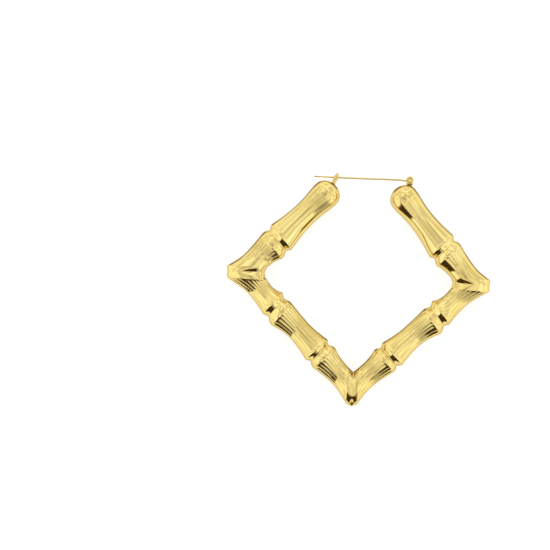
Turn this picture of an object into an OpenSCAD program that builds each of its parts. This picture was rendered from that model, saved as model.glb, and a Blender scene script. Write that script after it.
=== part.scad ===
// Bamboo hoop earring: a hollow metal tube struck like bamboo cane and bent into a diamond,
// with a hinged ear wire that drops into a V catch. It lies flat on its back.
// X runs to the right, Y towards the ear wire, Z towards the viewer, and z = 0 is the table.

/* [Hoop outline] */
// Side corners: distance of their centres from the middle
corner_x = 38.85; // [37.5:0.05:40]
// Side corners: height of their centres above the bottom corner's centre
corner_y = 38; // [37:0.1:39]
// End caps: mean distance of their centres from the middle
cap_x = 13.35; // [13:0.05:14]
// End caps: height of their centres above the bottom corner's centre
cap_y = 66.25; // [65:0.05:67]
// Both end caps stand this much to the right, as the hoop is sprung a little out of true
cap_shift = 0.7; // [0:0.05:0.8]
// Length of the dome that closes each end
dome_l = 4.3; // [4:0.1:4.8]
// Half-width of the tube at each end cap
cap_wide = 4.97; // [4.7:0.01:5.2]
// Half-depth of the tube at each end cap
cap_deep = 4.4; // [4.1:0.05:4.5]

/* [Bamboo nodes] */
// Half-depth of every rim, so that all of them touch the table
rim_deep = 4.6; // [4.5:0.05:5]
// Depth of the groove between a node's two rims
groove_depth = 0.8; // [0.4:0.05:1]
// Length of the floor of that groove
floor_l = 1.2; // [0.8:0.1:1.6]

/* [Mitred corners] */
// Distance of each corner's two ridges from its mitre
ridge_gap = 1.95; // [1.5:0.05:2.2]

/* [Flutes] */
// Flutes on the front, and as many on the back
flutes = 7; // [5:2:9]
// Angle between neighbouring flutes, seen along the tube
flute_pitch = 13.5; // [8:0.5:14]
// Depth of a flute
flute_depth = 0.22; // [0.1:0.02:0.3]

/* [Sheet metal] */
// Distance from the tube's outer surface to its void
wall = 0.55; // [0.45:0.05:0.7]

/* [Ear wire] */
// Radius of the wire
wire_r = 0.3; // [0.25:0.01:0.31]
// Height of the wire above the bottom corner's centre, at the middle
wire_y = 72.34; // [72.3:0.02:72.44]
// Angle at which the wire rises towards the hinge
wire_rise = 0.64; // [0.4:0.02:0.8]
// Free end of the wire, to the left of the middle
wire_tip = 17.3; // [15:0.1:20]
// Where the wire starts to taper towards its free end, to the left of the middle
taper_x = 7.5; // [6:0.1:8]
// Radius to which it tapers
tip_r = 0.25; // [0.2:0.01:0.28]
// Where the wire's flattened end starts, on the way to the hinge
flat_x = 12.2; // [12:0.1:12.4]

/* [Hinge] */
// Hinge axis: distance from the middle
hinge_x = 15.75; // [15.5:0.05:16]
// Hinge axis: height above the bottom corner's centre
hinge_y = 72.3; // [72.2:0.05:72.4]
// Radius of the hinge pin
pin_r = 0.4; // [0.3:0.02:0.44]
// Radius of the wire's flat eye round the pin
eye_r = 0.85; // [0.75:0.01:0.9]
// Running clearance of the eye round the pin
eye_clear = 0.04; // [0.02:0.01:0.08]
// Thickness of each cheek of the lug
cheek_t = 0.5; // [0.4:0.05:0.6]
// Space between the cheeks
cheek_gap = 0.9; // [0.85:0.05:1]
// Radius of the cheeks' round ends
cheek_r = 1.26; // [1.2:0.02:1.4]
// Width of the neck under the round ends
neck_w = 1.9; // [1.6:0.1:2.1]

/* [Catch] */
// Catch: distance of its foot from the middle, to the left
catch_x = 10.4; // [10.2:0.05:10.5]
// Catch: height of its foot above the bottom corner's centre
catch_y = 69.95; // [69.8:0.05:70]
// Lean of the catch towards the middle
catch_lean = 21; // [16:1:24]
// Height of the prongs above the foot
catch_h = 3.9; // [3.6:0.05:4]
// Thickness of the folded strip
catch_t = 0.4; // [0.3:0.05:0.45]

/* [Hidden] */
fine = 48;
gold = "gold";
wire_gold = "goldenrod";

// Rows along a lower side, from the bottom corner to the side corner, and along an arm, from
// there to the end cap. They repeat as waist, near rim of a node, far rim of that node.
// Columns: place as a part of the side's length, half-width across the tube, shift out of
// the hoop, and lean, which is how far a section's outer end runs ahead for each mm of width
lower_rows = [
    [0.127, 3.98, 0, -0.45],
    [0.27, 5.05, 0.05, 0],
    [0.336, 5.15, 0.05, 0],
    [0.495, 4.05, 0.05, 0],
    [0.66, 5.1, 0.7, -0.1],
    [0.74, 4.95, 0.4, -0.1],
    [0.85, 3.8, 0.55, 0.45]];
arm_rows = [
    [0.154, 4.5, 0.15, -0.45],
    [0.344, 5.45, 0, 0.1],
    [0.448, 5.52, 0, 0.1],
    [0.751, 4.31, 0, 0]];
// Half-depth of a waist, as a part of its half-width
waist_flat = 0.9;
// Power of the flare from a waist to a rim
flare_power = 1.8;

// Rows of a corner: the mitre's section, then that of the ridge next to it on the lower side,
// and for the side corner that of the ridge on the arm.
// Columns: half-width across the tube, half-depth, shift out of the hoop
bottom_corner = [[4.29, 3.6, 0.2], [4.54, 4, 0.6]];
side_corner = [[4.6, 3.8, -0.1], [4.78, 4.2, 1.17], [5.03, 4.2, 0.97]];
MITRE = 0;
RIDGE = 1;
ARM_RIDGE = 2;

// Columns of a ring, one cross-section of the tube: distance along the side, half-width,
// half-depth, shift out of the hoop, lean, and strength of its flutes from 0 to 1
AT = 0;
WIDE = 1;
DEEP = 2;
SHIFT = 3;
LEAN = 4;
FLUTED = 5;

// Places of the rings between a rim and a waist, as a part of that distance.
// The flutes start between the first two.
skin_steps = [0.1, 0.2, 0.6];
void_steps = [0.5];
// Angles of the rings of a dome, and of the void in it
dome_turns = [20, 40, 60, 78];
void_turns = [35, 65];

corner = [corner_x, corner_y];
right_cap = [cap_x + cap_shift, cap_y];
left_cap = [cap_x - cap_shift, cap_y];

function reversed(list) = [for (i = [len(list) - 1 : -1 : 0]) list[i]];
function mirrored(ring) = [for (p = ring) [-p.x, p.y, p.z]];
function mix(a, b, t) = a + (b - a) * t;
function unit(v) = v / norm(v);
function outward(way) = [way.y, -way.x];
function heading(v) = atan2(v.y, v.x);

// Rings of an internode: from a wide ring to a waist and on to the next wide one. The outline
// is level at the waist, and the flutes run over all but a margin next to the wide rings.
function flare(wide, waist, t) = let (bulge = (1 - t) ^ flare_power) [
    mix(wide[AT], waist[AT], t),
    mix(waist[WIDE], wide[WIDE], bulge),
    mix(waist[DEEP], wide[DEEP], bulge),
    mix(waist[SHIFT], wide[SHIFT], bulge),
    mix(wide[LEAN], waist[LEAN], t),
    t > skin_steps[0] ? 1 : 0];
function internode(start, waist, end, steps) = concat(
    [for (t = steps) flare(start, waist, t)],
    [waist],
    [for (t = reversed(steps)) flare(end, waist, t)]);

// Rings of a bamboo node: rim, two edges of the groove's floor, rim
function floor_ring(rim, step) =
    [rim[AT] + step, rim[WIDE] - groove_depth, rim[DEEP] - groove_depth, rim[SHIFT], rim[LEAN], 0];
function node_rings(near, far) =
    let (slope = (far[AT] - near[AT] - floor_l) / 2)
    [near, floor_ring(near, slope), floor_ring(far, -slope), far];

function rim_ring(row, side_l) = [row[0] * side_l, row[1], rim_deep, row[2], row[3], 0];
function waist_ring(row, side_l) =
    [row[0] * side_l, row[1], row[1] * waist_flat, row[2], row[3], 1];
function corner_ring(section, at, lean) = concat([at], section, [lean, 0]);

// Rings of one side from its rows, between a start ring and an end ring
function side_rings(rows, side_l, start, end, steps) =
    let (last = len(rows) - 1)
    concat([start], [for (i = [0 : 3 : last])
        let (before = i == 0 ? start : rim_ring(rows[i - 1], side_l),
             after = i == last ? end : rim_ring(rows[i + 1], side_l))
        each concat(
            internode(before, waist_ring(rows[i], side_l), after, steps),
            i == last ? [end] : node_rings(after, rim_ring(rows[i + 2], side_l)))]);

// Directions of a ring's points, from the front towards the outside of the hoop and round.
// Each is [angle, 1 in the bottom of a flute and 0 elsewhere].
function turned(arc, by) = [for (spot = arc) [spot[0] + by, spot[1]]];
fluted_arc = [for (i = [-flutes : flutes]) [i * flute_pitch / 2, (i + flutes) % 2]];
plain_arc = 180 - flutes * flute_pitch;
plain_steps = 4;
side_arc = [for (i = [1 : plain_steps - 1]) [90 - plain_arc / 2 + i * plain_arc / plain_steps, 0]];
skin_spots = concat(fluted_arc, side_arc, turned(fluted_arc, 180), turned(side_arc, 180));
void_sides = 12;
void_spots = [for (i = [0 : void_sides - 1]) [i * 360 / void_sides, 0]];

// Points of one ring on the side that starts at foot and runs along way
function ring_points(foot, way, ring, spots, inset) = [
    for (spot = spots)
    let (cut = inset + flute_depth * ring[FLUTED] * spot[1],
         across = ring[SHIFT] + (ring[WIDE] - cut) * sin(spot[0]),
         point = foot + way * (ring[AT] + ring[LEAN] * across) + outward(way) * across)
    [point.x, point.y, (ring[DEEP] - cut) * cos(spot[0])]];

// Rings of points from the bottom mitre round the right-hand corner to the end cap
function half_rings(cap, steps, turns, spots, inset) =
    let (lower_l = norm(corner),
         arm_l = norm(cap - corner),
         lower_way = unit(corner),
         arm_way = unit(cap - corner),
         low_turn = heading(lower_way),
         side_turn = (heading(arm_way) - low_turn) / 2,
         low_ridge = corner_ring(bottom_corner[RIDGE], ridge_gap / cos(low_turn), -tan(low_turn)),
         ridge_at = ridge_gap / cos(side_turn),
         far_ridge = corner_ring(side_corner[RIDGE], lower_l - ridge_at, tan(side_turn)),
         arm_ridge = corner_ring(side_corner[ARM_RIDGE], ridge_at, -tan(side_turn)),
         end = [arm_l, cap_wide, cap_deep, 0, 0, 0],
         lower = concat(
            [corner_ring(bottom_corner[MITRE], 0, -tan(low_turn))],
            side_rings(lower_rows, lower_l, low_ridge, far_ridge, steps)),
         arm = concat(
            [corner_ring(side_corner[MITRE], 0, -tan(side_turn))],
            side_rings(arm_rows, arm_l, arm_ridge, end, steps),
            [for (turn = turns) [arm_l + dome_l * sin(turn),
                cap_wide * cos(turn), cap_deep * cos(turn), 0, 0, 0]]))
    concat(
        [for (ring = lower) ring_points([0, 0], lower_way, ring, spots, inset)],
        [for (ring = arm) ring_points(corner, arm_way, ring, spots, inset)]);
function pole(cap, inset) =
    let (tip = cap + unit(cap - corner) * (dome_l - inset)) [tip.x, tip.y, 0];

// Closed skin over rings of points, with a pole before the first ring and one past the last
module skin(rings, first_pole, last_pole) {
    around = len(rings[0]);
    count = len(rings) * around;
    points = concat([for (ring = rings) each ring], [first_pole, last_pole]);
    sides = [for (row = [0 : len(rings) - 2], i = [0 : around - 1])
        let (a = row * around + i, b = row * around + (i + 1) % around)
        each [[a, b + around, b], [a, a + around, b + around]]];
    first_end = [for (i = [0 : around - 1]) [i, (i + 1) % around, count]];
    last_end = [for (i = [0 : around - 1])
        [count - around + (i + 1) % around, count - around + i, count + 1]];
    polyhedron(points, concat(sides, first_end, last_end));
}

// The whole tube from the left end cap to the right one, as a skin set in by inset
module tube(steps, turns, spots, inset) {
    right = half_rings(right_cap, steps, turns, spots, inset);
    left = half_rings(left_cap, steps, turns, spots, inset);
    skin(
        concat([for (i = [len(left) - 1 : -1 : 1]) mirrored(left[i])], right),
        mirrored([pole(left_cap, inset)])[0],
        pole(right_cap, inset));
}

// Hinge lug: a neck on the dome and two cheeks with round ends, which hold the pin
cheek_rise = 0.3;
cheek_y = hinge_y + cheek_rise;
lug_deep = cheek_gap + 2 * cheek_t;
// Bottom of the neck, sunk in the dome's wall, and top of the bridge that joins the cheeks
neck_y = 70;
bridge_y = hinge_y - eye_r - 0.2;
// The pin is riveted through the cheeks with hardly any play
rivet_clear = 0.02;
module hinge_lug() {
    translate([hinge_x, 0, 0])
    difference() {
        translate([0, 0, -lug_deep / 2]) {
            translate([0, cheek_y, 0]) cylinder(r = cheek_r, h = lug_deep, $fn = fine);
            translate([-neck_w / 2, neck_y, 0]) cube([neck_w, cheek_y - neck_y, lug_deep]);
        }
        translate([-2 * cheek_r, bridge_y, -cheek_gap / 2])
            cube([4 * cheek_r, 4 * cheek_r, cheek_gap]);
        translate([0, hinge_y, -lug_deep])
            cylinder(r = pin_r + rivet_clear, h = 2 * lug_deep, $fn = fine);
    }
}

// Catch: a strip folded into a V, whose prongs are leaves, broadest where the wire lies.
// The foot is sunk in the dome's wall, and the fold is where the strip parts into two prongs.
foot_sink = 0.7;
foot_half = 0.65;
fold_y = 1;
fold_half = 0.18;
mouth_half = 0.75;
leaf_half = 0.85;
leaf_from = 1.7;
leaf_to = 2.5;
leaf_tip_r = 0.45;
module catch() {
    right_prong = [[-foot_sink, fold_half + catch_t], [fold_y, fold_half + catch_t],
        [catch_h, mouth_half + catch_t], [catch_h, mouth_half], [fold_y, fold_half]];
    left_prong = [for (p = reversed(right_prong)) [p.x, -p.y]];
    leaf_tip = [for (turn = [0 : 30 : 180]) [0, catch_h - leaf_tip_r] + leaf_tip_r * [cos(turn), sin(turn)]];
    leaf = concat(
        [[-foot_half, -foot_sink], [foot_half, -foot_sink]],
        [[leaf_half, leaf_from], [leaf_half, leaf_to]],
        leaf_tip,
        [[-leaf_half, leaf_to], [-leaf_half, leaf_from]]);
    translate([-catch_x, catch_y, 0])
        rotate([0, 0, -catch_lean])
        intersection() {
            rotate([90, 0, 90])
                linear_extrude(4 * leaf_half, center = true)
                polygon(concat(right_prong, left_prong));
            linear_extrude(4 * mouth_half + 4 * catch_t, center = true) polygon(leaf);
        }
}

// Everything is built round the bottom corner's centre, then set down on the table with the
// middle of its height at y = 0
hoop_bottom = -(bottom_corner[MITRE][0] + bottom_corner[MITRE][2]) / cos(heading(corner));
hoop_top = cheek_y + cheek_r;
module set_down() {
    translate([0, -(hoop_bottom + hoop_top) / 2, rim_deep]) children();
}

// The tube's struck halves, the catch and the hinge lug are soldered into one piece
module bamboo_hoop() {
    color(gold)
    set_down()
    difference() {
        union() {
            tube(skin_steps, dome_turns, skin_spots, 0);
            catch();
            hinge_lug();
        }
        tube(void_steps, void_turns, void_spots, wall);
    }
}

head_r = 0.64;
head_t = 0.16;
module hinge_pin() {
    color(gold)
    set_down()
    translate([hinge_x, hinge_y, -lug_deep / 2 - head_t]) {
        cylinder(r = pin_r, h = lug_deep + 2 * head_t, $fn = fine);
        cylinder(r = head_r, h = head_t, $fn = fine);
        translate([0, 0, lug_deep + head_t]) cylinder(r = head_r, h = head_t, $fn = fine);
    }
}

eye_t = 0.66;
// The wire's flattened end: thickness, half-width, length of its level part, then of its step
flat_t = 0.64;
flat_half = 0.33;
flat_l = 0.5;
step_l = 1;
// Depth of the round wire's end in the flattened one, and length of its blunt point
root_l = 0.3;
point_l = 0.5;
module ear_wire() {
    low_y = hinge_y - flat_half / 2;
    high_y = wire_y + flat_x * tan(wire_rise);
    step_x = flat_x + flat_l;
    root_x = flat_x + root_l;
    straight_l = (root_x + wire_tip) / cos(wire_rise);
    even_l = (root_x + taper_x) / cos(wire_rise);
    line = [[flat_x, high_y], [step_x, high_y], [step_x + step_l, low_y], [hinge_x - eye_r / 2, low_y]];
    color(wire_gold)
    set_down()
    difference() {
        union() {
            translate([root_x, wire_y + root_x * tan(wire_rise), 0])
                rotate([0, 90, 180 + wire_rise])
                rotate_extrude($fn = fine)
                polygon([[0, 0], [wire_r, 0], [wire_r, even_l], [tip_r, straight_l - point_l],
                    [tip_r / 2, straight_l], [0, straight_l]]);
            linear_extrude(flat_t, center = true)
                polygon(concat(
                    [for (p = line) p + [0, flat_half]],
                    [for (p = reversed(line)) p - [0, flat_half]]));
            translate([hinge_x, hinge_y, -eye_t / 2]) cylinder(r = eye_r, h = eye_t, $fn = fine);
        }
        translate([hinge_x, hinge_y, -eye_t])
            cylinder(r = pin_r + eye_clear, h = 2 * eye_t, $fn = fine);
    }
}

bamboo_hoop();
hinge_pin();
ear_wire();
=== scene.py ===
import math
import random
from collections import namedtuple

import bmesh
import bpy
from mathutils import Matrix, Vector


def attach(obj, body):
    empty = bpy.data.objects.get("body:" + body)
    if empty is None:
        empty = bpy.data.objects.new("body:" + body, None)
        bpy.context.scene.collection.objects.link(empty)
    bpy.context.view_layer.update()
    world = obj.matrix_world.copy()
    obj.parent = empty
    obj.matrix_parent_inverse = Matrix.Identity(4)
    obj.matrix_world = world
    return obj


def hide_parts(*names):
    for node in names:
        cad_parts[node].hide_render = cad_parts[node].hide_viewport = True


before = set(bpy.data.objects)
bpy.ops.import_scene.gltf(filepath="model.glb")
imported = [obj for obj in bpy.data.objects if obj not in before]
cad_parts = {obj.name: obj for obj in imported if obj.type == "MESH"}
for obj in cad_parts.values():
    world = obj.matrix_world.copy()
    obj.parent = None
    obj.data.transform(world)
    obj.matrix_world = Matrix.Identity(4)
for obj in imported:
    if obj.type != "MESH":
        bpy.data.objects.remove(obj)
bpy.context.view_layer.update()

mm = 0.001          # every size below is in mm, and the meshes are in metres
weld = 0.0005       # points nearer than this are merged
tiny = 1e-6         # keeps a division safe
scene = bpy.context.scene


# Helpers for shapes

def blended(a, b, t):
    return a + (b - a) * t


def eased(t):
    t = min(max(t, 0.0), 1.0)
    return t * t * (3 - 2 * t)


def risen(value, low, high):
    # 0 up to low, 1 from high on
    return eased((value - low) / (high - low))


def onTable(x, y, z):
    # hoop coordinates, from the bottom corner's centre, to the frame in metres
    return Vector((x, y - hoopPlan["middleY"], z + hoopPlan["axisZ"])) * mm


def addPiece(name, bm, body, finish, smooth=True):
    mesh = bpy.data.meshes.new(name)
    bm.to_mesh(mesh)
    bm.free()
    if smooth:
        mesh.shade_smooth()
    piece = bpy.data.objects.new(name, mesh)
    scene.collection.objects.link(piece)
    mesh.materials.append(finish)
    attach(piece, body)
    return piece


def rolledSkin(columns, rows, place):
    # a flat grid, each point of which is moved to its place on the skin; the seam and poles are merged
    bm = bmesh.new()
    bmesh.ops.create_grid(bm, x_segments=columns, y_segments=rows, size=0.5)
    for vert in bm.verts:
        column = round((vert.co.x + 0.5) * columns)
        row = round((vert.co.y + 0.5) * rows)
        vert.co = place(column % columns, row)
    bmesh.ops.remove_doubles(bm, verts=bm.verts, dist=weld * mm)
    bmesh.ops.recalc_face_normals(bm, faces=bm.faces)
    return bm


# Helpers for finishes

class Signal:
    # a socket that can be added, multiplied and so on with numbers and other sockets
    def __init__(self, bench, socket):
        self.bench, self.socket = bench, socket

    def joined(self, operation, first, second):
        return self.bench.add("ShaderNodeMath", {"operation": operation}, {0: first, 1: second})

    def __add__(self, other):
        return self.joined("ADD", self, other)

    def __radd__(self, other):
        return self.joined("ADD", other, self)

    def __sub__(self, other):
        return self.joined("SUBTRACT", self, other)

    def __rsub__(self, other):
        return self.joined("SUBTRACT", other, self)

    def __mul__(self, other):
        return self.joined("MULTIPLY", self, other)

    def __truediv__(self, other):
        return self.joined("DIVIDE", self, other)

    def __pow__(self, other):
        return self.joined("POWER", self, other)


class Bench:
    # one node tree and the one method that adds a node to it
    def __init__(self, tree):
        self.tree = tree
        tree.nodes.clear()

    def add(self, kind, settings, inputs, output=0):
        node = self.tree.nodes.new(kind)
        for name, value in settings.items():
            setattr(node, name, value)
        for name, value in inputs.items():
            if isinstance(value, Signal):
                self.tree.links.new(value.socket, node.inputs[name])
            else:
                node.inputs[name].default_value = value
        return Signal(self, node.outputs[output]) if node.outputs else None

    def span(self, value, low, high, fromLow=0.0, fromHigh=1.0):
        # low to high as value goes from fromLow to fromHigh, smooth at both ends
        return self.add("ShaderNodeMapRange", {"interpolation_type": "SMOOTHSTEP"},
                        {"Value": value, "From Min": fromLow, "From Max": fromHigh,
                         "To Min": low, "To Max": high})

    def noise(self, scale, detail=2.0):
        place = self.add("ShaderNodeTexCoord", {}, {}, "Object")
        return self.add("ShaderNodeTexNoise", {}, {"Vector": place, "Scale": scale, "Detail": detail})

    def tinted(self, amount, first, second):
        # one colour turning into another as amount goes from 0 to 1
        return self.add("ShaderNodeMix", {"data_type": "RGBA"},
                        {"Factor": amount, 6: first, 7: second}, 2)


goldLook = {
    "pale": (0.86, 0.70, 0.27, 1), "deep": (0.80, 0.60, 0.19, 1), "gloss": 0.05,
    "wirePale": (0.84, 0.68, 0.28, 1), "wireDeep": (0.72, 0.55, 0.2, 1), "wireGloss": 0.16,
    "paintedShade": (0.035, 0.02, 0.008, 1), "paintedShadeShare": 0.9, "shadeBandSoft": 0.1,
    "edgeShadeTone": (0.13, 0.06, 0.012, 1), "rim": (1.0, 0.88, 0.64, 1),
    # colour, share and span of the painted shade that darkens the metal where it is seen at a slant, on the
    # flanks and at the outline
    "flank": ((0.7, 0.54, 0.17, 1), 0.6, (0.3, 0.5)), "edge": ((0.34, 0.19, 0.04, 1), 0.9, (0.5, 0.86)),
    # clouds a few mm wide and fine grain, then what they do to the colour, the haze and the ripple;
    # a Span is the stretch of the clouds' noise over which each comes in
    "cloudScale": 90.0, "cloudDetail": 3.0, "grainScale": 2600.0,
    "wear": 0.5, "wearSpan": (0.35, 0.65), "speckle": 0.2, "lineShare": (0.75, 1.0), "lineSpan": (0.4, 0.6),
    "haze": 0.05, "hazeSpan": (0.4, 0.7), "grainHaze": 0.03,
    "rippleDepth": 0.014, "rippleStrength": 0.25, "grainRipple": 0.15,
    # heights in the frame between which the lug's neck is darkened with painted shade, where shade falls
    # under the cheeks
    "lugShadeBand": (36.93, 37.41),
}


def goldFinish(name, pale, deep, gloss, paintedShade=None, lined=False):
    # a band of painted shade darkens the metal between the two heights given; lined reads the brown line of
    # painted shade along the tube's upper edges
    material = bpy.data.materials.new(name)
    material.use_nodes = True
    bench = Bench(material.node_tree)
    clouds = bench.noise(goldLook["cloudScale"], goldLook["cloudDetail"])
    grain = bench.noise(goldLook["grainScale"])
    wear = bench.span(clouds, 0.0, 1.0, *goldLook["wearSpan"])
    colour = bench.tinted(wear * goldLook["wear"] + grain * goldLook["speckle"], pale, deep)
    # painted shade: the neck under the lug's cheeks is darkened between two heights, with soft edges
    if paintedShade:
        low, high = paintedShade
        soft = goldLook["shadeBandSoft"]
        place = bench.add("ShaderNodeTexCoord", {}, {}, "Object")
        tall = bench.add("ShaderNodeSeparateXYZ", {}, {"Vector": place}, "Y") + grain * soft * mm
        above = bench.span(tall, 0.0, 1.0, low * mm, (low + soft) * mm)
        below = bench.span(tall, 1.0, 0.0, (high - soft) * mm, high * mm)
        colour = bench.tinted(above * below * goldLook["paintedShadeShare"], colour, goldLook["paintedShade"])
    grazing = bench.add("ShaderNodeLayerWeight", {}, {"Blend": 0.5}, "Facing")
    # painted shade: deeper gold on the flanks and brown at the outline, by how far the surface turns from
    # the viewer
    for tint, share, (start, full) in (goldLook["flank"], goldLook["edge"]):
        colour = bench.tinted(bench.span(grazing, 0.0, share, start, full), colour, tint)
    if lined:
        # painted shade: a brown line along the upper edges, where the table beside them lies in shade and is
        # reflected dark
        line = bench.add("ShaderNodeAttribute", {"attribute_name": "edgeShadeLine"}, {}, "Fac")
        line = line * bench.span(clouds, *goldLook["lineShare"], *goldLook["lineSpan"])
        colour = bench.tinted(line, colour, goldLook["edgeShadeTone"])
    haze = gloss + bench.span(clouds, 0.0, goldLook["haze"], *goldLook["hazeSpan"])
    haze = haze + grain * goldLook["grainHaze"]
    dents = bench.add("ShaderNodeBump", {}, {
        "Strength": goldLook["rippleStrength"], "Distance": goldLook["rippleDepth"] * mm,
        "Height": clouds + grain * goldLook["grainRipple"]})
    surface = bench.add("ShaderNodeBsdfPrincipled", {}, {
        "Base Color": colour, "Metallic": 1.0, "Roughness": haze, "Normal": dents,
        "Specular Tint": goldLook["rim"]})
    bench.add("ShaderNodeOutputMaterial", {}, {"Surface": surface})
    return material


hoopTones = goldLook["pale"], goldLook["deep"], goldLook["gloss"]
hoopGold = goldFinish("hoopGold", *hoopTones)
tubeGold = goldFinish("tubeGold", *hoopTones, lined=True)
lugGold = goldFinish("lugGold", *hoopTones, paintedShade=goldLook["lugShadeBand"])
wireGold = goldFinish("wireGold", goldLook["wirePale"], goldLook["wireDeep"], goldLook["wireGloss"])


# The hoop: a tube struck like bamboo cane, mitred into a diamond

hoopPlan = {
    "middleY": 33.79, "axisZ": 4.6,      # where the table's origin lies in hoop coordinates
    "corner": (38.85, 38.0), "cap": (13.35, 66.25), "capShift": 0.7, "domeLength": 4.3,
    "capHalf": (4.97, 4.4), "rimDepth": 4.6, "waistFlat": 0.9, "ridgeGap": 1.95,
    "flarePower": 1.8, "capFlarePower": 1.4,
    # place along the side, half-width, shift outwards, lean; waist, near rim, far rim and so on
    "lowerRows": [(0.127, 3.98, 0, -0.45), (0.27, 5.05, 0.05, 0), (0.336, 5.15, 0.05, 0),
                  (0.495, 4.05, 0.05, 0), (0.66, 5.1, 0.7, -0.1), (0.74, 4.95, 0.4, -0.1),
                  (0.85, 3.8, 0.55, 0.45)],
    "armRows": [(0.154, 4.5, 0.15, -0.45), (0.344, 5.45, 0, 0.1), (0.448, 5.52, 0, 0.1),
                (0.751, 4.31, 0, 0)],
    # half-width, half-depth and shift of a corner's mitre, then of its ridge or ridges
    "bottomCorner": ((4.29, 3.6, 0.2), (4.54, 4.0, 0.6)),
    "leftCorner": ((4.6, 3.93, -0.1), (4.78, 4.2, 1.17), (5.03, 4.2, 0.97)),
    "rightCorner": ((4.6, 3.75, -0.1), (4.78, 3.85, 1.17), (5.03, 4.1, 0.97)),
    # place between a node's two rims, and drop below them
    "nodeProfile": [(0, 0), (0.05, 0.01), (0.1, 0.04), (0.15, 0.09), (0.2, 0.17), (0.26, 0.29), (0.32, 0.42),
                    (0.38, 0.55), (0.43, 0.67), (0.47, 0.79), (0.5, 0.88), (0.53, 0.93), (0.56, 0.93),
                    (0.59, 0.88), (0.63, 0.78), (0.68, 0.64), (0.74, 0.47), (0.8, 0.31), (0.86, 0.17),
                    (0.91, 0.08), (0.95, 0.03), (1, 0)],
    # distance between sections, and how much closer they stand near the rims
    "step": 0.34, "crowding": 0.4,
    "mitreSteps": 12, "mitrePower": 2.2, "domeSteps": 14, "fullness": 2.1,
    # the crease at the left, right and bottom corner: depth and middle; then its length across the mitre,
    # how it fades and its half-span
    "creaseDeep": (0.38, 0.38, 0.7), "creaseAngle": (-10.0, -24.0, 56.0),
    "creaseReach": 0.65, "creasePower": 1.6, "creaseSpan": 30.0,
    # where the brown line of painted shade lies: how far the skin faces up the picture, and how far it turns
    # from the viewer
    "lineUp": (0.42, 0.54), "lineEnd": (0.8, 0.9), "lineSteep": (0.38, 0.6),
}

flutePlan = {
    "count": 9, "pitch": 13.0, "across": 7, "sideSteps": 9, "flatness": 4.0, "rib": 0.012,
    "nearDepth": 0.11, "farDepth": 0.18, "capDepth": 0.09, "faint": 0.4, "lowRidge": 0.65, "weak": 0.5,
    "nearMargin": 0.5, "cornerMargin": 2.4, "capMargin": 1.2, "endLength": 0.35, "sway": 5.0,
    # in shares of an internode: how far the flutes run from either end, and the way over which they fade
    "nearRun": (0.35, 0.6), "farRun": (0.3, 0.5), "fade": 0.25,
    # the hollow on the inner flank of an arm, before its cap: depth; start, full, end of full and end along
    # the internode; then its middle and half-span in degrees from the front
    "dentDeep": 0.4, "dentRun": (2.0, 8.0, 10.5, 20.0), "dentAngle": -56.0, "dentSpan": 44.0,
    "seed": 11,
}

# how the right half (1) and the left half (-1) differ: the level band before a rim, where the flutes end
# before it, how many flutes are left out on the inner flank of an arm's two internodes, how flat the flutes
# are before the side corner, and how much deeper they are cut
halfTraits = {
    1: {"band": 0.4, "farMargin": 0.4, "bare": (3, 3), "cornerFlatness": 1.6, "depth": 1.0},
    -1: {"band": 0.9, "farMargin": 0.9, "bare": (0, 3), "cornerFlatness": 4.0, "depth": 1.3},
}

# one section: its place along the side, half-width, half-depth, shift, lean, and the relief it carries
Ring = namedtuple(
    "Ring", "at wide deep shift lean nearFlutes farFlutes sway crease bottom dent ridges ribs flatness",
    defaults=[0.0, 0.0, False, 0.0, None, None, flutePlan["flatness"]])
plain = [0.0] * flutePlan["count"]
chance = random.Random(flutePlan["seed"])


def flareRing(wide, waist, t, soft):
    # a section between a rim, or a cap if soft, and the waist
    t = max(t, 0.0)
    if soft:
        bulge = (0.5 + 0.5 * math.cos(math.pi * t)) ** hoopPlan["capFlarePower"]
    else:
        bulge = (1 - t) ** hoopPlan["flarePower"]
    return Ring(blended(wide.at, waist.at, t), blended(waist.wide, wide.wide, bulge),
                blended(waist.deep, wide.deep, bulge), blended(waist.shift, wide.shift, bulge),
                blended(wide.lean, waist.lean, t), plain, plain)


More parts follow.
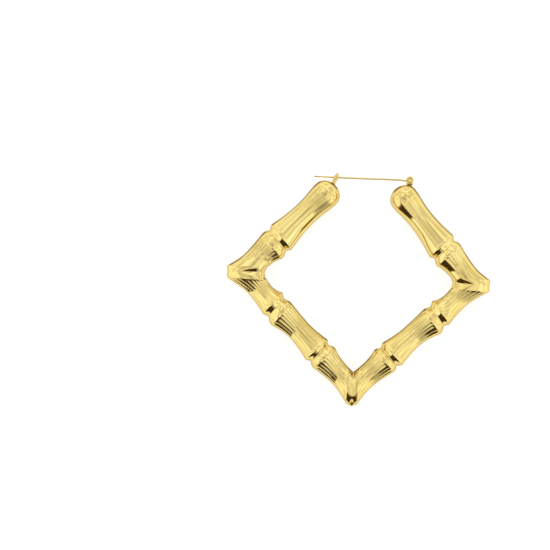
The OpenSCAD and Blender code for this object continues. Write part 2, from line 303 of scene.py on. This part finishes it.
def internodeRings(start, waist, end, capped, nearMargin, bare, flatness, traits):
    # the fluted sections from one rim to the next, or to the cap
    length = end.at - start.at
    farMargin = flutePlan["capMargin"] if capped else traits["farMargin"]
    endLength = flutePlan["endLength"] * (2 if capped else 1)
    fade = flutePlan["fade"]
    nearRuns = [chance.uniform(*flutePlan["nearRun"]) for _ in plain]
    farRuns = [chance.uniform(*flutePlan["farRun"]) for _ in plain]
    sway = chance.uniform(-flutePlan["sway"], flutePlan["sway"])
    ridges = [chance.uniform(flutePlan["lowRidge"], 1) for _ in range(flutePlan["count"] + 1)]
    cuts = [chance.uniform(flutePlan["weak"], 1) if i >= bare else 0.0 for i in range(flutePlan["count"])]
    ribs = [chance.gauss(0, flutePlan["rib"]) for _ in range(flutePlan["count"] * flutePlan["across"] + 1)]
    band = 0 if capped else traits["band"]
    depth = 1.0 if capped else traits["depth"]
    steps = round(length / hoopPlan["step"])
    rings = []
    for i in range(1, steps):
        u = i / steps
        x = length * (u - hoopPlan["crowding"] * math.sin(math.tau * u) / math.tau)
        at = start.at + x
        if at < waist.at:
            ring = flareRing(start, waist, x / (waist.at - start.at), False)
        else:
            ring = flareRing(end, waist, (end.at - at - band) / (end.at - waist.at - band), capped)
            ring = ring._replace(at=at)
        nearStart = eased((x - nearMargin) / flutePlan["endLength"])
        farStart = eased((length - x - farMargin) / endLength)
        faint = flutePlan["faint"] * nearStart * farStart
        near = [cut * max(nearStart * (1 - eased((x / length - run) / fade)), faint)
                for cut, run in zip(cuts, nearRuns)]
        far = [depth * cut * farStart * (1 - eased(((length - x) / length - run) / fade))
               for cut, run in zip(cuts, farRuns)]
        dent = 0.0
        if capped:
            far = [strength * flutePlan["capDepth"] / flutePlan["farDepth"] for strength in far]
            fall, full, climb, level = flutePlan["dentRun"]
            dent = risen(x, fall, full) * (1 - risen(x, climb, level))
        rings.append(ring._replace(nearFlutes=near, farFlutes=far, dent=dent, ridges=ridges, ribs=ribs,
                                   flatness=flatness, sway=sway * math.sin(math.pi * u) ** 0.5))
    return rings


def sideRings(rows, sideLength, start, end, capped, traits):
    # internodes and nodes in turn along one side, from its corner's ridge to the next ridge or the cap
    def rim(row):
        return Ring(row[0] * sideLength, row[1], hoopPlan["rimDepth"], row[2], row[3], plain, plain)

    rings = [start]
    for i in range(0, len(rows), 3):
        place, half, shift, lean = rows[i]
        waist = Ring(place * sideLength, half, half * hoopPlan["waistFlat"], shift, lean, plain, plain)
        last = i + 1 >= len(rows)
        after = end if last else rim(rows[i + 1])
        nearMargin = flutePlan["cornerMargin" if capped and i == 0 else "nearMargin"]
        bare = traits["bare"][i // 3] if capped else 0
        flatness = traits["cornerFlatness"] if last and not capped else flutePlan["flatness"]
        rings += internodeRings(rings[-1], waist, after, capped and last, nearMargin, bare, flatness,
                                traits)
        if last:
            rings.append(end)
            continue
        near, far = after, rim(rows[i + 2])
        for place, drop in hoopPlan["nodeProfile"]:
            rings.append(Ring(blended(near.at, far.at, place), blended(near.wide, far.wide, place) - drop,
                              near.deep - drop, blended(near.shift, far.shift, place),
                              blended(near.lean, far.lean, place), plain, plain))
    return rings


def mitreRings(mitre, ridge, endAt, startAt, lean, bottom=False):
    # from a corner's mitre to its ridge, dipping smoothly at the mitre
    steps = hoopPlan["mitreSteps"]
    rings = []
    for i in range(steps):
        t = i / steps
        rise = 1 - (1 - t) ** hoopPlan["mitrePower"]
        wide, deep, shift = [blended(a, b, part) for a, b, part in zip(mitre, ridge, (t, rise, t))]
        crease = max(1 - t / hoopPlan["creaseReach"], 0) ** hoopPlan["creasePower"]
        rings.append(Ring(blended(startAt, endAt, t), wide, deep, shift, lean, plain, plain,
                          crease=crease, bottom=bottom))
    return rings


def halfHoop(capSide):
    # (foot, direction, ring) for each section from the bottom mitre to the end cap's pole
    corner = Vector(hoopPlan["corner"])
    cap = Vector(hoopPlan["cap"]) + Vector((capSide * hoopPlan["capShift"], 0))
    lowerWay, armWay = corner.normalized(), (cap - corner).normalized()
    lowerLength, armLength = corner.length, (cap - corner).length
    lowTurn = math.atan2(lowerWay.y, lowerWay.x)
    sideTurn = (math.atan2(armWay.y, armWay.x) - lowTurn) / 2
    gap = hoopPlan["ridgeGap"]
    lowLean, sideLean = -math.tan(lowTurn), math.tan(sideTurn)
    lowRidge = gap / math.cos(lowTurn)
    sideRidge = gap / math.cos(sideTurn)

    bottomMitre, bottomRidge = hoopPlan["bottomCorner"]
    sideMitre, lowerRidge, armRidge = hoopPlan["rightCorner" if capSide > 0 else "leftCorner"]
    lower = mitreRings(bottomMitre, bottomRidge, lowRidge, 0, lowLean, bottom=True)
    lower += sideRings(hoopPlan["lowerRows"], lowerLength,
                       Ring(lowRidge, *bottomRidge, lowLean, plain, plain),
                       Ring(lowerLength - sideRidge, *lowerRidge, sideLean, plain, plain),
                       False, halfTraits[capSide])
    back = mitreRings(sideMitre, lowerRidge, lowerLength - sideRidge, lowerLength, sideLean)
    lower += reversed(back[1:])
    arm = mitreRings(sideMitre, armRidge, sideRidge, 0, -sideLean)
    end = Ring(armLength, *hoopPlan["capHalf"], 0, 0, plain, plain)
    arm += sideRings(hoopPlan["armRows"], armLength,
                     Ring(sideRidge, *armRidge, -sideLean, plain, plain), end, True, halfTraits[capSide])
    for i in range(1, hoopPlan["domeSteps"] + 1):
        turn = math.pi / 2 * i / hoopPlan["domeSteps"]
        arm.append(Ring(armLength + hoopPlan["domeLength"] * math.sin(turn),
                        hoopPlan["capHalf"][0] * math.cos(turn), hoopPlan["capHalf"][1] * math.cos(turn),
                        0, 0, plain, plain))
    return [(Vector((0, 0)), lowerWay, r) for r in lower] + [(corner, armWay, r) for r in arm]


def sectionAngles():
    # angles round a section, counted from the front: close over the flutes and wider at the sides
    pitch, count, across = flutePlan["pitch"], flutePlan["count"], flutePlan["across"]
    half = pitch * count / 2
    fluted = [-half + i * pitch / across for i in range(count * across)]
    side = [half + i * (180 - 2 * half) / flutePlan["sideSteps"] for i in range(flutePlan["sideSteps"])]
    return fluted + side + [a + 180 for a in fluted] + [a + 180 for a in side]


def hollowDrop(angle, ring, side):
    # depth of a corner's crease and of an arm's hollow at this angle, the same on the front and the back
    turn = angle if angle < 180 else angle - 360
    turn = turn if abs(turn) < 90 else math.copysign(180 - abs(turn), turn)
    corner = 2 if ring.bottom else int(side > 0)
    creaseAway = abs(turn - hoopPlan["creaseAngle"][corner]) / hoopPlan["creaseSpan"]
    dentAway = abs(turn - flutePlan["dentAngle"]) / flutePlan["dentSpan"]
    return (hoopPlan["creaseDeep"][corner] * ring.crease * (1 - eased(creaseAway))
            + flutePlan["dentDeep"] * ring.dent * (1 - eased(dentAway)))


def fluteDrop(angle, ring):
    # depth of the flutes at this angle, counted from the middle of the front or of the back
    pitch, count = flutePlan["pitch"], flutePlan["count"]
    turn = (angle + 90) % 180 - 90
    u = (turn + pitch * count / 2) / pitch
    i = int(u)
    if u < 0 or i >= count:
        return 0.0
    edge = abs(2 * (u - i) - 1) ** ring.flatness
    ridge = ring.ridges[round(u)] if ring.ridges and 0 < round(u) < count else 1.0
    scoop = 1 - edge * ridge
    near, far = ring.nearFlutes[i], ring.farFlutes[i]
    rib = ring.ribs[round(u * flutePlan["across"])] * max(near, far) if ring.ribs else 0
    return rib + scoop * max(flutePlan["nearDepth"] * near, flutePlan["farDepth"] * far)


def skinPoint(section, angle, side):
    # where a section's skin lies at an angle counted from the front, on the right (1) or left (-1) half
    foot, way, ring = section
    drop = fluteDrop(angle, ring) + hollowDrop(angle, ring, side)
    turn = math.radians(angle + ring.sway)
    across = ring.shift * math.sin(turn) ** 2 + (ring.wide - drop) * math.sin(turn)
    point = foot + way * (ring.at + ring.lean * across) + Vector((way.y, -way.x)) * across
    rise = (1 - abs(math.sin(turn)) ** hoopPlan["fullness"]) ** (1 / hoopPlan["fullness"])
    return onTable(side * point.x, point.y, math.copysign((ring.deep - drop) * rise, math.cos(turn)))


def makeHoop():
    right, left = halfHoop(1), halfHoop(-1)
    sections = [(s, -1) for s in reversed(left[1:])] + [(s, 1) for s in right]
    angles = sectionAngles()
    bm = rolledSkin(len(angles), len(sections) - 1,
                    lambda column, row: skinPoint(sections[row][0], angles[column], sections[row][1]))
    # painted shade along the upper edges, stored per point for the tube's finish
    line = bm.verts.layers.float.new("edgeShadeLine")
    bm.normal_update()
    for vert in bm.verts:
        up, steep = vert.normal.y, 1 - abs(vert.normal.z)
        vert[line] = (risen(up, *hoopPlan["lineUp"]) * (1 - risen(up, *hoopPlan["lineEnd"]))
                      * risen(steep, *hoopPlan["lineSteep"]))
    hoop = addPiece("bambooTube", bm, "hoop", tubeGold)
    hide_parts("bamboo_hoop")
    print("bamboo tube:", len(sections), "sections,", len(hoop.data.polygons), "faces")


makeHoop()


# The hinge: a lug with two round cheeks on the right-hand dome, and a riveted pin

hingePlan = {
    "at": (15.75, 72.3), "cheekRise": 0.3, "cheekRadius": 1.26, "cheekThick": 0.5, "cheekGap": 0.9,
    "neckHalf": 1.12, "neckFoot": 70.0, "bridge": 71.25, "edge": 0.42,
    # heights of the groove under the cheeks, with the share of the neck's half-width that is left at each
    "groove": (71.05, 70.9, 70.7, 70.55), "waist": (0.95, 0.7, 0.7, 0.95),
    "blockShare": 0.8, "blockEdge": 0.1, "cheekSteps": 36, "edgeSteps": 5,
    # the pin's head: share of its radius and drop below its top, then its lower rim
    "dome": [(0, 0), (0.3, 0.015), (0.55, 0.05), (0.8, 0.1)], "rimShare": 0.95, "rimRise": 0.02,
    "pinRadius": 0.4, "headRadius": 0.64, "headThick": 0.16, "headSink": 0.01, "around": 48,
}


def platePiece(bm, outline, low, high, edge, rounded=(True, True)):
    # a flat outline raised into a plate whose lower and upper rims are rounded
    verts = [bm.verts.new(onTable(x, y, low)) for x, y in outline]
    face = bm.faces.new(verts)
    raised = bmesh.ops.extrude_face_region(bm, geom=[face])
    top = [item for item in raised["geom"] if isinstance(item, bmesh.types.BMVert)]
    bmesh.ops.translate(bm, verts=top, vec=(0, 0, (high - low) * mm))
    around = (verts if rounded[0] else []) + (top if rounded[1] else [])
    rims = [e for v in around for e in v.link_edges if abs(e.verts[0].co.z - e.verts[1].co.z) < weld * mm]
    bmesh.ops.bevel(bm, geom=list(dict.fromkeys(rims)), offset=edge * mm, offset_type="OFFSET",
                    segments=hingePlan["edgeSteps"], profile=0.5, affect="EDGES", material=-1)


def makeLug():
    x0, y0 = hingePlan["at"][0], hingePlan["at"][1] + hingePlan["cheekRise"]
    radius, neck = hingePlan["cheekRadius"], hingePlan["neckHalf"]
    low = math.degrees(math.asin(neck / radius)) - 90      # where the round end meets the neck
    steps = hingePlan["cheekSteps"]
    turns = [math.radians(low + i * (180 - 2 * low) / steps) for i in range(steps + 1)]
    cheek = [(x0 + radius * math.cos(t), y0 + radius * math.sin(t)) for t in turns]
    cheek += [(x0 - neck, hingePlan["groove"][0]), (x0 + neck, hingePlan["groove"][0])]
    gap, thick = hingePlan["cheekGap"] / 2, hingePlan["cheekThick"]
    bm = bmesh.new()
    platePiece(bm, cheek, gap, gap + thick, hingePlan["edge"], rounded=(False, True))
    platePiece(bm, cheek, -gap - thick, -gap, hingePlan["edge"], rounded=(True, False))
    profile = [(neck, hingePlan["bridge"])]
    profile += [(neck * part, y) for part, y in zip(hingePlan["waist"], hingePlan["groove"])]
    profile += [(neck, hingePlan["neckFoot"])]
    block = [(x0 + half, y) for half, y in reversed(profile)] + [(x0 - half, y) for half, y in profile]
    tall = gap + thick * hingePlan["blockShare"]
    platePiece(bm, block, -tall, tall, hingePlan["blockEdge"])
    bmesh.ops.recalc_face_normals(bm, faces=bm.faces)
    addPiece("hingeLug", bm, "hoop", lugGold, smooth=False)


def makePin():
    half = hingePlan["cheekGap"] / 2 + hingePlan["cheekThick"]
    head, tall = hingePlan["headRadius"], half + hingePlan["headThick"]
    foot = half - hingePlan["headSink"]
    profile = [(head * share, tall - drop) for share, drop in hingePlan["dome"]]
    profile += [(head * hingePlan["rimShare"], half + hingePlan["rimRise"]), (head, foot),
                (hingePlan["pinRadius"], foot)]
    profile += [(r, -z) for r, z in reversed(profile)]
    bm = bmesh.new()
    verts = [bm.verts.new(onTable(hingePlan["at"][0] + r, hingePlan["at"][1], z)) for r, z in profile]
    edges = [bm.edges.new(pair) for pair in zip(verts, verts[1:])]
    bmesh.ops.spin(bm, geom=verts + edges, cent=onTable(*hingePlan["at"], 0), axis=(0, 0, 1),
                   angle=math.tau, steps=hingePlan["around"], use_merge=True)
    bmesh.ops.remove_doubles(bm, verts=bm.verts, dist=weld * mm)
    bmesh.ops.recalc_face_normals(bm, faces=bm.faces)
    pin = addPiece("rivet", bm, "hoop", hoopGold)
    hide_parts("hinge_pin")


makeLug()
makePin()
print("hinge ready")


# The catch: a strip folded into a V whose prongs are two leaves

catchPlan = {
    "foot": (-10.4, 69.95), "lean": 21.0, "thick": 0.4, "cup": 0.16,
    # half the space between the leaves at the fold and at the mouth, and the heights of both
    "foldHalf": 0.18, "mouthHalf": 0.75, "fold": 1.0, "top": 3.9,
    # height and half-width of a leaf
    "leaf": [(-0.7, 0.65), (0.3, 0.7), (1.2, 0.8), (1.9, 0.85), (2.5, 0.84), (3.0, 0.7), (3.4, 0.5),
             (3.7, 0.3), (3.85, 0.12)],
    "across": 6,
}


def makeCatch():
    foot, leaf = Vector(catchPlan["foot"]), catchPlan["leaf"]
    turn = Matrix.Rotation(-math.radians(catchPlan["lean"]), 2)
    bm = bmesh.new()
    for face in (1, -1):
        prong = bmesh.new()
        bmesh.ops.create_grid(prong, x_segments=catchPlan["across"], y_segments=len(leaf) - 1, size=0.5)
        for vert in prong.verts:
            tall, half = leaf[round((vert.co.y + 0.5) * (len(leaf) - 1))]
            u = vert.co.x * 2
            spread = max(tall - catchPlan["fold"], 0) / (catchPlan["top"] - catchPlan["fold"])
            away = blended(catchPlan["foldHalf"], catchPlan["mouthHalf"], spread)
            away += catchPlan["thick"] / 2 - catchPlan["cup"] * u * u
            flat = foot + turn @ Vector((u * half, tall))
            vert.co = onTable(flat.x, flat.y, face * away)
        bmesh.ops.recalc_face_normals(prong, faces=prong.faces)
        bmesh.ops.solidify(prong, geom=list(prong.faces), thickness=catchPlan["thick"] * mm)
        sheet = bpy.data.meshes.new("prong")
        prong.to_mesh(sheet)
        prong.free()
        bm.from_mesh(sheet)
        bpy.data.meshes.remove(sheet)
    bmesh.ops.recalc_face_normals(bm, faces=bm.faces)
    addPiece("catchProngs", bm, "hoop", hoopGold)


makeCatch()
print("catch ready")


# The ear wire: round and drawn thin, with a hammered eye at the hinge

wirePlan = {
    "radius": 0.3, "tipRadius": 0.25, "taperLength": 10,
    "eyeRadius": 0.85, "eyeHole": 0.44, "eyeThick": 0.66, "eyeEdge": 0.1, "eyeSteps": 48,
    # the wire's line: x and y
    "line": [(-17.3, 72.02), (-10, 72.06), (-3.5, 72.1), (12.2, 72.42), (12.8, 72.4), (13.7, 72.18),
             (15.2, 72.14)],
    # the blunt tip: distance from its end, and radius; then where the even steps begin and end
    "tip": [(0, 0.02), (0.02, 0.12), (0.08, 0.19), (0.2, 0.24)], "tipLength": 0.4, "endLength": 0.05,
    "endRadius": 0.05,
    # the hammered end: where it starts and is full, its half-sizes, the share of them used, and squareness
    "flatSpan": (12.2, 13.2), "flatHalf": (0.33, 0.32), "flatShare": 0.97, "squareness": 4,
    "step": 0.4, "around": 24, "rounding": 0.9, "roundingSteps": 3,
}


def wireHeight(x):
    # the line with its bends eased over a short way, by the mean of its heights around x
    line, reach, count = wirePlan["line"], wirePlan["rounding"], wirePlan["roundingSteps"]
    total = 0
    for i in range(-count, count + 1):
        at = min(max(x + i * reach / (2 * count), line[0][0]), line[-1][0])
        for (xa, ya), (xb, yb) in zip(line, line[1:]):
            if at <= xb:
                total += blended(ya, yb, (at - xa) / (xb - xa))
                break
    return total / (2 * count + 1)


def makeWire():
    start, end = wirePlan["line"][0][0], wirePlan["line"][-1][0]
    count = round((end - start) / wirePlan["step"])
    first, last = start + wirePlan["tipLength"], end - wirePlan["endLength"]
    stations = [(start + away, radius) for away, radius in wirePlan["tip"]]
    stations += [(blended(first, last, i / count), None) for i in range(count + 1)]
    stations += [(end, wirePlan["endRadius"])]
    power = wirePlan["squareness"]
    flatHalf, flatThick = [half * wirePlan["flatShare"] for half in wirePlan["flatHalf"]]

    def place(column, row):
        x, radius = stations[row]
        if radius is None:
            taper = eased((x - start) / wirePlan["taperLength"])
            radius = blended(wirePlan["tipRadius"], wirePlan["radius"], taper)
        turn = math.tau * column / wirePlan["around"]
        flat = risen(x, *wirePlan["flatSpan"]) if row < len(stations) - 1 else 0
        c, s = math.cos(turn), math.sin(turn)
        square = 1 / (abs(c) ** power + abs(s) ** power) ** (1 / power)
        wide = blended(radius * c, flatHalf * c * square, flat)
        tall = blended(radius * s, flatThick * s * square, flat)
        return onTable(x, wireHeight(x) + wide, tall)

    bm = rolledSkin(wirePlan["around"], len(stations) - 1, place)
    bmesh.ops.holes_fill(bm, edges=[e for e in bm.edges if e.is_boundary], sides=0)
    thick, edge = wirePlan["eyeThick"] / 2, wirePlan["eyeEdge"]
    inner, outer = wirePlan["eyeHole"], wirePlan["eyeRadius"]
    # the eye's section: distance from its middle, and height
    ring = [(inner, -thick + edge), (inner + edge, -thick), (outer - edge, -thick), (outer, -thick + edge),
            (outer, thick - edge), (outer - edge, thick), (inner + edge, thick), (inner, thick - edge)]
    x0, y0 = hingePlan["at"]
    verts = [bm.verts.new(onTable(x0 + r, y0, z)) for r, z in ring]
    edges = [bm.edges.new((a, b)) for a, b in zip(verts, verts[1:] + verts[:1])]
    bmesh.ops.spin(bm, geom=verts + edges, cent=onTable(x0, y0, 0), axis=(0, 0, 1),
                   angle=math.tau, steps=wirePlan["eyeSteps"], use_merge=True)
    bmesh.ops.recalc_face_normals(bm, faces=bm.faces)
    wire = addPiece("earWire", bm, "wire", wireGold)
    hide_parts("ear_wire")


makeWire()
print("ear wire ready")


# Studio: white tent, dark gap towards the foot of the picture, white floor

studioPlan = {
    "roll": 3.2, "viewCentre": (-28.68, 3.63), "viewWidth": 189.6, "height": 1200.0,
    "sensor": 36.0, "clip": (0.05, 10.0),
    # brightness of the tent's roof, of its sloping part and near the table, and the heights between them
    "roof": 0.95, "slope": 1.23, "skirt": 1.1, "skirtEnd": (0.1, 0.6), "slopeEnd": (0.75, 0.95),
    # the camera's hole in the roof
    "holeDark": 0.55, "holeEdge": (0.9935, 0.9965),
    # the dark gap: bearing from the foot of the picture towards the left, half-width, softness of its sides,
    # height in its middle, softness of its top, slant of its top down to the right, brightness and tint
    "gapTurn": 5.5, "gapHalf": 36.5, "gapSoft": 0.025, "gapTop": 0.76, "gapTopSoft": 0.04,
    "gapSlant": 0.12, "gapDark": 0.06, "gapTint": (1, 0.6, 0.3, 1),
    # the dimmer cloth behind the gap: bearing, half-width, softness, heights where it ends, brightness
    "shadeTurn": -3.0, "shadeHalf": 39.0, "shadeSoft": 0.04, "shadeEnd": (0.8, 0.9), "shadeDark": 0.48,
    # the tent's folds: scale, darkest and brightest share, and the noise between which they lie
    "foldScale": 2.6, "foldTones": (0.7, 1.12), "foldSpan": (0.38, 0.56),
    "floorSize": 4000.0, "floorWhite": (0.45, 0.46), "floorScale": 3.0, "floorRough": 0.6, "floorGlow": 0.7,
}


def bearingShare(bench, x, y, level, turn, half, soft):
    # 1 within half degrees of a bearing counted from the foot of the picture, 0 outside it
    turn = math.radians(turn)
    facing = (x * -math.sin(turn) - y * math.cos(turn)) / level
    edge = math.cos(math.radians(half))
    return bench.span(facing, 0.0, 1.0, edge - soft, edge + soft)


def makeWorld():
    plan = studioPlan
    world = bpy.data.worlds.new("softTent")
    scene.world = world
    world.use_nodes = True
    bench = Bench(world.node_tree)
    way = bench.add("ShaderNodeTexCoord", {}, {}, "Generated")
    x, y, z = [bench.add("ShaderNodeSeparateXYZ", {}, {"Vector": way}, axis) for axis in "XYZ"]
    level = (x * x + y * y + tiny) ** 0.5
    gap = bearingShare(bench, x, y, level, plan["gapTurn"], plan["gapHalf"], plan["gapSoft"])
    turn = math.radians(plan["gapTurn"])
    aside = (x * math.cos(turn) - y * math.sin(turn)) / level
    gap = gap * bench.span(z + aside * plan["gapSlant"], 1.0, 0.0,
                           plan["gapTop"] - plan["gapTopSoft"], plan["gapTop"] + plan["gapTopSoft"])
    tent = bench.span(z, plan["skirt"], plan["slope"], *plan["skirtEnd"])
    tent = tent - bench.span(z, 0.0, plan["slope"] - plan["roof"], *plan["slopeEnd"])
    folds = bench.add("ShaderNodeTexNoise", {}, {"Vector": way, "Scale": plan["foldScale"], "Detail": 1.0})
    tent = tent * bench.span(folds, *plan["foldTones"], *plan["foldSpan"])
    hole = bench.span(z, 0.0, 1.0, *plan["holeEdge"])
    tent = bench.span(hole, tent, plan["holeDark"])
    shade = bearingShare(bench, x, y, level, plan["shadeTurn"], plan["shadeHalf"], plan["shadeSoft"])
    shade = shade * bench.span(z, 1.0, 0.0, *plan["shadeEnd"])
    tent = tent * (1 - shade * (1 - plan["shadeDark"]))
    tent = bench.span(gap, tent, plan["gapDark"])
    tint = bench.tinted(gap, (1, 1, 1, 1), plan["gapTint"])
    glow = bench.add("ShaderNodeBackground", {}, {"Color": tint, "Strength": tent})
    bench.add("ShaderNodeOutputWorld", {}, {"Surface": glow})


def makeFloor():
    bm = bmesh.new()
    bmesh.ops.create_grid(bm, x_segments=1, y_segments=1, size=studioPlan["floorSize"] / 2 * mm)
    mesh = bpy.data.meshes.new("tableTop")
    bm.to_mesh(mesh)
    bm.free()
    floor = bpy.data.objects.new("tableTop", mesh)
    scene.collection.objects.link(floor)
    material = bpy.data.materials.new("whiteTable")
    material.use_nodes = True
    bench = Bench(material.node_tree)
    tone = bench.span(bench.noise(studioPlan["floorScale"]), *studioPlan["floorWhite"])
    white = bench.add("ShaderNodeCombineColor", {}, {"Red": tone, "Green": tone, "Blue": tone})
    surface = bench.add("ShaderNodeBsdfPrincipled", {}, {
        "Base Color": white, "Roughness": studioPlan["floorRough"], "Emission Color": (1, 1, 1, 1),
        "Emission Strength": studioPlan["floorGlow"]})
    bench.add("ShaderNodeOutputMaterial", {}, {"Surface": surface})
    mesh.materials.append(material)


def makeCamera():
    lens = bpy.data.cameras.new("photoCamera")
    lens.sensor_width = studioPlan["sensor"]
    lens.lens = studioPlan["sensor"] * studioPlan["height"] / studioPlan["viewWidth"]
    lens.clip_start, lens.clip_end = studioPlan["clip"]
    camera = bpy.data.objects.new("photoCamera", lens)
    scene.collection.objects.link(camera)
    x, y = studioPlan["viewCentre"]
    camera.location = Vector((x, y, studioPlan["height"])) * mm
    camera.rotation_euler = (0, 0, math.radians(studioPlan["roll"]))
    scene.camera = camera


makeWorld()
makeFloor()
makeCamera()
scene.view_settings.view_transform = "Standard"
print("studio ready")
